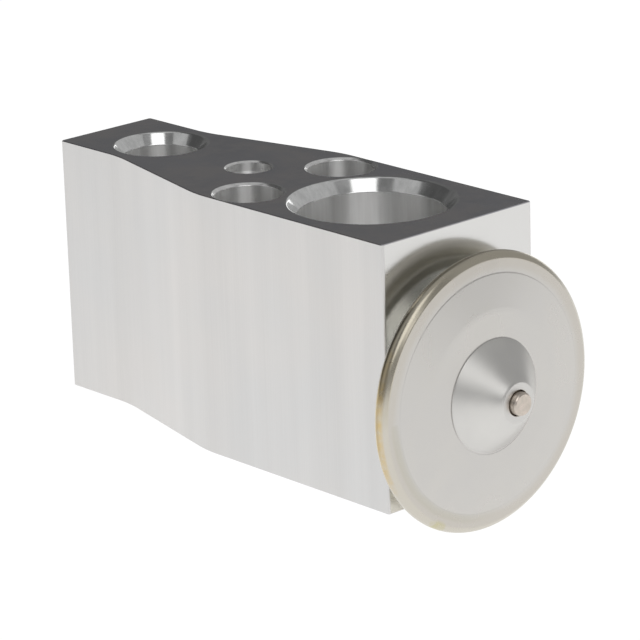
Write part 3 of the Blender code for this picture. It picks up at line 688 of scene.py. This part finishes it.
def make_block():
    outline = block_outline()
    n = len(outline)
    edge = 0.1
    inset = []
    for i, (x, y) in enumerate(outline):
        before, after = Vector(outline[i - 1]), Vector(outline[(i + 1) % n])
        along = (after - before).normalized()
        inset.append((x - along.y * edge, y + along.x * edge))
    loops = [(inset, 0.0), (outline, edge), (outline, HEIGHT - edge), (inset, HEIGHT)]
    verts = [(at(x), y * MM, z * MM) for points, z in loops for x, y in points]
    faces, indices = [], []
    for level in range(3):
        for i in range(n):
            j = (i + 1) % n
            faces.append((level * n + i, level * n + j, (level + 1) * n + j, (level + 1) * n + i))
            (xa, ya), (xb, yb) = outline[i], outline[j]
            flat_end = abs(xa - xb) < 1e-6 and abs(ya - yb) > 1.0
            indices.append(PORT if level != 1 else END if flat_end else SIDE)
    faces.append(tuple(range(n))[::-1])
    faces.append(tuple(range(3 * n, 4 * n)))
    indices += [PORT, PORT]
    block = object_from("block", verts, faces, block_materials, indices)
    h = HEIGHT

    def cutter(name, station, y, radius, depth, slope, edge, lower, middle, through, steps, bevel=CHAMFER):
        """Cutter for a bore whose mouths have a rounded chamfer."""
        top = radius + slope * depth
        arc = rounded(
            [(h - depth - 1.0, radius, 0.0), (h - depth, radius, lower), (h, top, edge), (h, top + 2.0, 0.0)],
            segments=7,
        )[1:-1]
        upper = [*arc, (h + 0.3, arc[-1][1]), (h + 0.3, 0.0)]
        if through:
            lower_end = [(h - z, r) for z, r in reversed(upper)]
            profile = lower_end + upper
        else:
            profile = middle + upper
        marks = []
        for (za, ra), (zb, rb) in zip(profile, profile[1:]):
            z, level = (za + zb) / 2, abs(ra - rb) > 1e-4
            marks.append(bevel if level and (z > h - depth - 0.3 or (through and z < depth + 0.3)) else BORE_Z)
        return revolve(name, profile, steps, block_materials, "z", (station, y), helper=True, index=marks)

    suction = cutter("cut_suction", 52.6, 0.0, 9.5, 1.65, 0.77, 0.5, 0.22, None, True, 192)
    r = 5.15
    liquid = cutter(
        "cut_liquid", 11.6, 0.0, r, 1.5, 0.77, 0.45, 0.2,
        [(AXIS_Z - 1.0, 0.0), (AXIS_Z + 1.0, 3.0), (h - 10.0 - 0.6 * (r - 3.0), 3.0), (h - 10.0, r)],
        False, 128,
    )
    outlet_upper = rounded(
        [(2.5, r, 0.0), (1.5, r, 0.2), (0.0, r + 1.2, 0.32), (0.0, r + 3.2, 0.0)], segments=7
    )[1:-1]
    outlet_profile = [(-0.3, 0.0), (-0.3, outlet_upper[-1][1]), *reversed(outlet_upper)]
    outlet_profile += [(6.0, r), (6.0 + 0.6 * (r - 3.0), 3.0), (AXIS_Z + 2.0, 3.0), (AXIS_Z + 3.7, 0.0)]
    outlet = revolve(
        "cut_outlet", outlet_profile, 128, block_materials, "z", (21.4, 0.0), helper=True,
        index=[
            CHAMFER if max(a[0], b[0]) < 1.8 and abs(a[1] - b[1]) > 1e-4 else BORE_Z
            for a, b in zip(outlet_profile, outlet_profile[1:])
        ],
    )
    bolts = [
        cutter(f"cut_bolt_{side}", 38.3, y, 4.4, 0.35, 1.0, 0.26, 0.12, None, True, 128, EDGE)
        for side, y in (("left", 8.05), ("right", -8.05))
    ]

    def tapped_radius(z, phase):
        thread = 2.60 + 0.32 * (1.0 - tooth(phase))
        run_out = min(max((z - (h - 13.2)) / 1.5, 0.0), 1.0)
        return 2.5 + (thread - 2.5) * run_out

    countersink = revolve(
        "cut_countersink",
        [(h - 0.6, 0.0), (h - 0.6, 2.6), (h - 0.20, 3.0), (h - 0.03, 3.17), (h - 0.01, 3.21), (h + 0.3, 3.52), (h + 0.3, 0.0)],
        96, block_materials, "z", (29.3, 0.0), helper=True, index=EDGE,
    )
    lead_in = revolve(
        "cut_lead_in", [(h - 1.75, 0.0), (h - 1.75, 2.50), (h - 1.35, 2.98), (h + 0.4, 2.98), (h + 0.4, 0.0)],
        96, block_materials, "z", (29.3, 0.0), helper=True, index=BORE_Z,
    )
    tapped = helicoid(
        "cut_tapped", h - 14.5, 15.0, tapped_radius, 72, 16, block_materials, "z", (29.3, 0.0), index=THREAD
    )

    def socket_radius(station, phase):
        thread = 5.78 + 0.40 * tooth(phase)
        fade = min(max((5.58 - station) / 0.6, 0.0), 1.0)
        return max(5.78 + (thread - 5.78) * fade, 6.2 + 0.4 - station)

    socket = helicoid(
        "cut_adjuster_thread", -1.2, 6.8, socket_radius, 96, 14, block_materials, "x", index=THREAD
    )
    chamber = revolve(
        "cut_chamber",
        [(4.4, 0.0), (4.4, 5.78), (5.4, 5.78), (5.8, 5.6), (14.8, 5.6), (16.5, 2.6), (17.6, 1.5), (21.4, 1.5), (21.4, 0.0)],
        96, block_materials, helper=True, index=BORE_X,
    )
    guide = revolve(
        "cut_guide", [(22.4, 0.0), (22.4, 1.45), (39.5, 1.45), (39.5, 2.9), (48.3, 2.9), (48.3, 0.0)],
        64, block_materials, helper=True, index=BORE_X,
    )
    neck = revolve(
        "cut_neck", [(57.3, 0.0), (57.3, 4.5), (62.6, 4.5), (62.6, 9.6), (66.0, 9.6), (69.0, 12.6), (69.0, 0.0)],
        128, block_materials, helper=True, index=BORE_X,
    )
    return applied(
        block,
        [("DIFFERENCE", c) for c in (suction, liquid, outlet, *bolts, chamber, guide, neck, countersink, lead_in, tapped, socket)],
    )


# ---------------------------------------------------------------- head
def make_cover():
    bead = [
        (71.71 + 0.995 * cos(radians(a)), 17.0 + 0.99 * sin(radians(a)))
        for a in [200.0 - 166.0 * i / 28 for i in range(29)]
    ]
    along = Vector((3.98, -4.55)).normalized()
    inward = Vector((along.y, -along.x)) * 0.8
    top_inner = (77.85 + inward.x, 2.85 + inward.y)
    base_inner = (73.87 + inward.x, 7.4 + inward.y)
    slope = (top_inner[1] - base_inner[1]) / (top_inner[0] - base_inner[0])
    ceiling = top_inner[0] - 0.15
    outside = rounded(
        [
            (72.7, 17.0, 0.0),
            (72.755, 17.23, 0.0),
            (72.775, 17.14, 0.0),
            (72.950, 15.48, 0.0),
            (72.957, 15.42, 0.0),
            (72.985, 15.32, 0.0),
            (72.997, 15.26, 0.0),
            (73.600, 11.10, 0.0),
            (73.617, 10.95, 0.0),
            (73.655, 10.60, 0.0),
            (73.665, 10.45, 0.0),
            (73.830, 7.62, 0.0),
            (73.828, 7.54, 0.0),
            (73.800, 7.47, 0.0),
            (73.795, 7.42, 0.0),
            (73.800, 7.36, 0.0),
            (73.830, 7.31, 0.0),
            (77.85, 2.86, 0.10),
            (78.0, 2.62, 0.14),
            (78.0, 1.72, 0.06),
            (77.90, 1.64, 0.0),
        ]
    )
    inside = [
        (ceiling, 1.64),
        (ceiling, base_inner[1] + slope * (ceiling - base_inner[0])),
        (73.07, base_inner[1] + slope * (73.07 - base_inner[0])),
        (72.95, 10.4),
        (72.4, 14.9),
        (71.8, 15.3),
        (71.8, 16.1),
    ]
    profile = [(70.95, 16.1), *bead, *outside[1:], *inside]
    return revolve("cover", held(profile), 288, [cover_steel], closed=True, sharp=40.0)


def make_base():
    profile = rounded(
        [
            (63.2, 6.6, 0.15), (67.3, 6.6, 0.1), (67.3, 4.2, 0.1), (69.25, 4.2, 0.0), (69.25, 9.9, 0.0),
            (70.55, 9.9, 0.1), (70.95, 10.3, 0.1), (70.95, 16.06, 0.0), (70.78, 16.06, 0.0), (70.48, 15.85, 0.05),
            (70.40, 14.75, 0.1), (68.6, 13.30, 0.2), (68.3, 13.05, 0.1), (68.3, 9.3, 0.1), (63.7, 9.3, 0.1), (63.2, 8.8, 0.1),
        ],
        closed=True,
    )
    return settled(revolve("base", profile, 192, [inner_steel], closed=True), 40.0)


def make_plug():
    def wobble(along, radius, angle):
        if along < 76.8:
            return 1.0
        return 1.0 - 0.022 + 0.012 * cos(2 * angle + 0.7) + 0.009 * cos(3 * angle + 2.0) * (along - 76.0) / 3.0

    profile = rounded(
        [
            (75.8, 0.0, 0.0), (75.8, 2.2, 0.1), (76.7, 2.2, 0.08), (76.7, 1.60, 0.0), (77.78, 1.60, 0.03),
            (77.86, 1.55, 0.05), (78.72, 1.54, 0.16), (78.90, 1.33, 0.1), (78.88, 0.8, 0.3), (78.84, 0.0, 0.0),
        ],
        segments=6,
    )
    return settled(revolve("plug", profile, 96, [plug_steel], wobble=wobble), 45.0)


# ---------------------------------------------------------------- adjuster
def make_screw():
    profile = [
        (0.8, 0.0), (0.8, 5.42), (1.28, 5.9), (4.3, 5.9), (4.75, 5.42), (4.95, 5.3), (6.3, 5.3), (6.3, 4.05), (7.7, 4.05),
        (7.7, 5.3), (8.05, 5.3), (8.2, 5.15), (8.2, 3.4), (4.7, 3.4), (4.7, 0.0),
    ]
    screw = revolve("screw", profile, 144, [screw_brass], sharp=28.0)

    def radius_at(station, phase):
        if station > 4.85:
            return 7.0
        return 5.46 + 0.44 * tooth(phase)

    thread = helicoid("shape_thread", -1.2, 10.4, radius_at, 96, 14, [screw_brass], "x")
    corner = 2.5 / cos(radians(30))
    verts = [
        (at(station), corner * sin(radians(60 * k)) * MM, (AXIS_Z + corner * cos(radians(60 * k))) * MM)
        for station in (0.0, 3.7)
        for k in range(6)
    ]
    faces = [tuple(range(6))[::-1], tuple(range(6, 12))]
    faces += [(k, (k + 1) % 6, 6 + (k + 1) % 6, 6 + k) for k in range(6)]
    socket = object_from("cut_socket", verts, faces, [screw_brass], helper=True)
    mouth = revolve(
        "cut_mouth", [(0.3, 0.0), (0.3, corner + 0.6), (1.4, corner - 0.5), (1.4, 0.0)], 96, [screw_brass], helper=True
    )
    return applied(screw, [("INTERSECT", thread), ("DIFFERENCE", socket), ("DIFFERENCE", mouth)])


def make_spring():
    low, high, mean, wire, turns = 5.66, 10.93, 2.6, 0.42, 5.0
    closed_turns, closed_pitch = 0.8, 2 * wire + 0.12
    open_turns = turns - 2 * closed_turns
    open_pitch = (high - low - 2 * closed_turns * closed_pitch) / open_turns
    per_turn, sides = 48, 20
    verts, faces = [], []
    total = int(turns * per_turn)

    def station_at(t):
        first = min(t, closed_turns)
        middle = min(max(t - closed_turns, 0.0), open_turns)
        last = max(t - closed_turns - open_turns, 0.0)
        return low + (first + last) * closed_pitch + middle * open_pitch

    for i in range(total + 1):
        t = i / per_turn
        angle = 2 * pi * t
        radial = Vector((0.0, cos(angle), sin(angle)))
        rise = (station_at(min(t + 0.01, turns)) - station_at(max(t - 0.01, 0.0))) / 0.02
        tangent = Vector((rise / (2 * pi), -mean * sin(angle), mean * cos(angle))).normalized()
        side = tangent.cross(radial)
        centre = Vector((at(station_at(t)), 0.0, AXIS_Z * MM)) + radial * mean * MM
        for k in range(sides):
            a = 2 * pi * k / sides
            verts.append(centre + (radial * cos(a) + side * sin(a)) * wire * MM)
    for i in range(total):
        for k in range(sides):
            n = (k + 1) % sides
            faces.append((i * sides + k, i * sides + n, (i + 1) * sides + n, (i + 1) * sides + k))
    faces.append(tuple(range(sides)))
    faces.append(tuple(range(total * sides, (total + 1) * sides)))
    return object_from("spring", verts, faces, [spring_steel], sharp=50.0)


def take(piece, node, body):
    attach(piece, body)
    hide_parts(node)
    return piece


take(make_block(), "valve_block", "valve_body")
take(make_cover(), "head_cover", "valve_body")
take(make_base(), "head_base", "valve_body")
take(make_plug(), "charge_plug", "valve_body")
take(make_screw(), "adjusting_screw", "screw")
spring = make_spring()
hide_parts("superheat_spring")
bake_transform(spring)

for node, material in {
    "diaphragm": spring_steel,
    "diaphragm_stopper": turned_steel,
    "operating_rod": turned_steel,
    "valve_ball": turned_steel,
    "ball_support": turned_steel,
    "damping_spring": spring_steel,
    "seal_retainer": spring_steel,
    "head_seal_ring": seal_rubber,
    "rod_seal_ring": seal_rubber,
    "adjuster_seal_ring": seal_rubber,
}.items():
    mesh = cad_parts[node].data
    if mesh.materials:
        for i in range(len(mesh.materials)):
            mesh.materials[i] = material
    else:
        mesh.materials.append(material)


# ---------------------------------------------------------------- stage
def glow(name, strength, albedo):
    """White paper: lit evenly, seen from its front only."""
    material = bpy.data.materials.new(name)
    material.use_nodes = True
    tree = material.node_tree
    shader = tree.nodes["Principled BSDF"]
    shader.inputs["Base Color"].default_value = (albedo, albedo, albedo, 1.0)
    shader.inputs["Roughness"].default_value = 1.0
    shader.inputs["Specular IOR Level"].default_value = 0.0
    shader.inputs["Emission Color"].default_value = (1.0, 1.0, 1.0, 1.0)
    shader.inputs["Emission Strength"].default_value = strength
    clear = tree.nodes.new("ShaderNodeBsdfTransparent")
    side = tree.nodes.new("ShaderNodeNewGeometry")
    mix = tree.nodes.new("ShaderNodeMixShader")
    tree.links.new(side.outputs["Backfacing"], mix.inputs[0])
    tree.links.new(shader.outputs[0], mix.inputs[1])
    tree.links.new(clear.outputs[0], mix.inputs[2])
    tree.links.new(mix.outputs[0], tree.nodes["Material Output"].inputs["Surface"])
    return material


def sheet(name, profile, material, steps=96):
    """Surface of revolution about Z, facing inwards and up. profile holds (radius, height)."""
    verts, faces = [], []
    rows = []
    for radius, height in profile:
        if radius < 1e-9:
            rows.append([len(verts)] * steps)
            verts.append((0.0, 0.0, height))
        else:
            rows.append(list(range(len(verts), len(verts) + steps)))
            verts += [
                (radius * cos(2 * pi * k / steps), radius * sin(2 * pi * k / steps), height) for k in range(steps)
            ]
    for a, b in zip(rows, rows[1:]):
        for k in range(steps):
            n = (k + 1) % steps
            loop = []
            for v in (a[k], b[k], b[n], a[n]):
                if v not in loop:
                    loop.append(v)
            faces.append(tuple(loop))
    mesh = bpy.data.meshes.new(name)
    mesh.from_pydata(verts, [], faces)
    mesh.materials.append(material)
    mesh.shade_smooth()
    obj = bpy.data.objects.new(name, mesh)
    scene.collection.objects.link(obj)
    return obj


def make_stage():
    """Pale level floor, and a white backdrop that only the camera sees."""
    level = -4.32 * MM
    paper = glow("white_paper", 0.98, 0.12)
    sheet("floor", [(0.0, level), (0.15, level), (0.3, level), (FLOOR_RADIUS, level)], paper)
    cloth = glow("white_backdrop", 1.0, 0.0)
    far = [(FLOOR_RADIUS, level), (1.5, level), (2.2, level)]
    far += [
        (2.2 + 1.1 * sin(radians(a)), level + 1.1 - 1.1 * cos(radians(a))) for a in range(10, 91, 10)
    ]
    far += [(3.3 * cos(radians(a)), level + 1.1 + 2.2 * sin(radians(a))) for a in range(10, 91, 10)]
    far[-1] = (0.0, level + 3.3)
    backdrop = sheet("backdrop", far, cloth)
    for seen in ("visible_glossy", "visible_diffuse", "visible_transmission", "visible_shadow"):
        setattr(backdrop, seen, False)


FLOOR_RADIUS = 0.62


def make_world():
    """Dim studio with a long soft box overhead and pale panels beside it."""
    world = bpy.data.worlds.new("studio")
    world.use_nodes = True
    scene.world = world
    tree = world.node_tree
    tree.nodes.clear()

    def node(kind, **settings):
        made = tree.nodes.new(kind)
        for key, value in settings.items():
            setattr(made, key, value)
        return made

    def feed(socket, value):
        if isinstance(value, bpy.types.NodeSocket):
            tree.links.new(value, socket)
        else:
            socket.default_value = value

    def math(operation, *values):
        made = node("ShaderNodeMath", operation=operation)
        for socket, value in zip(made.inputs, values):
            feed(socket, value)
        return made.outputs[0]

    def soft(value, low, high):
        made = node("ShaderNodeMapRange", clamp=True, interpolation_type="SMOOTHSTEP")
        feed(made.inputs["Value"], value)
        made.inputs["From Min"].default_value = low
        made.inputs["From Max"].default_value = high
        return made.outputs[0]

    def dot(direction):
        made = node("ShaderNodeVectorMath", operation="DOT_PRODUCT")
        tree.links.new(place, made.inputs[0])
        made.inputs[1].default_value = direction
        return made.outputs["Value"]

    place = node("ShaderNodeTexCoord").outputs["Generated"]
    split = node("ShaderNodeSeparateXYZ")
    tree.links.new(place, split.inputs[0])
    dx, dy, dz = split.outputs
    elevation = math("DEGREES", math("ARCSINE", dz))
    azimuth = math("DEGREES", math("ARCTAN2", dy, dx))

    def window(value, low, high, edge):
        return math("MULTIPLY", soft(value, low - edge / 2, low + edge / 2), soft(value, high + edge / 2, high - edge / 2))

    # tall soft box in front, with upright sides
    box = math("MULTIPLY", window(azimuth, -54.0, -3.0, 5.0), window(elevation, 20.0, 66.0, 5.0))
    # pale panels to the right and left, and a pale ceiling
    right = math("MULTIPLY", window(azimuth, 24.0, 124.0, 5.0), window(elevation, -6.0, 63.0, 4.0))
    left = math("MULTIPLY", window(azimuth, -133.0, -87.0, 5.0), window(elevation, 3.0, 62.0, 5.0))
    ceiling = soft(elevation, 62.0, 67.0)
    pale = math("MAXIMUM", math("MAXIMUM", right, left), ceiling)
    front = math("MULTIPLY", window(azimuth, -88.0, 24.0, 6.0), window(elevation, -8.0, 66.0, 6.0))
    dim = math("MULTIPLY", front, math("ADD", 0.115, math("MULTIPLY", soft(azimuth, -55.0, 0.0), 0.085)))
    back = math("MULTIPLY", soft(azimuth, -150.0, -136.0), window(elevation, 0.0, 60.0, 8.0))
    total = math("ADD", 0.062, math("MULTIPLY", pale, 0.38))
    total = math("MAXIMUM", total, math("ADD", 0.085, dim))
    total = math("MAXIMUM", total, math("ADD", 0.07, math("MULTIPLY", back, 0.06)))
    # far end of the white floor, just above the horizon
    sweep = math("MULTIPLY", window(azimuth, 102.0, 134.0, 4.0), window(elevation, -6.0, 7.0, 2.0))
    total = math("MAXIMUM", total, math("MULTIPLY", sweep, 1.5))
    total = math("ADD", total, math("MULTIPLY", box, math("SUBTRACT", 1.45, total)))
    background = node("ShaderNodeBackground")
    background.inputs["Color"].default_value = (1.0, 1.0, 1.0, 1.0)
    feed(background.inputs["Strength"], total)
    output = node("ShaderNodeOutputWorld")
    tree.links.new(background.outputs[0], output.inputs[0])


def make_camera():
    data = bpy.data.cameras.new("camera")
    data.sensor_width = 36.0
    data.lens = 203.35
    data.shift_x = -0.00168
    data.shift_y = -0.02543
    data.clip_start, data.clip_end = 0.02, 20.0
    camera = bpy.data.objects.new("camera", data)
    right = Vector((0.67814894, 0.73433714, -0.02937652))
    down = Vector((0.20355026, -0.22608358, -0.95260354))
    ahead = Vector((-0.70617371, 0.64002748, -0.30279286))
    turn = Matrix((right, -down, -ahead)).transposed()
    camera.matrix_world = Matrix.Translation((0.333848, -0.298773, 0.160255)) @ turn.to_4x4()
    scene.collection.objects.link(camera)
    scene.camera = camera


make_stage()
make_world()
make_camera()
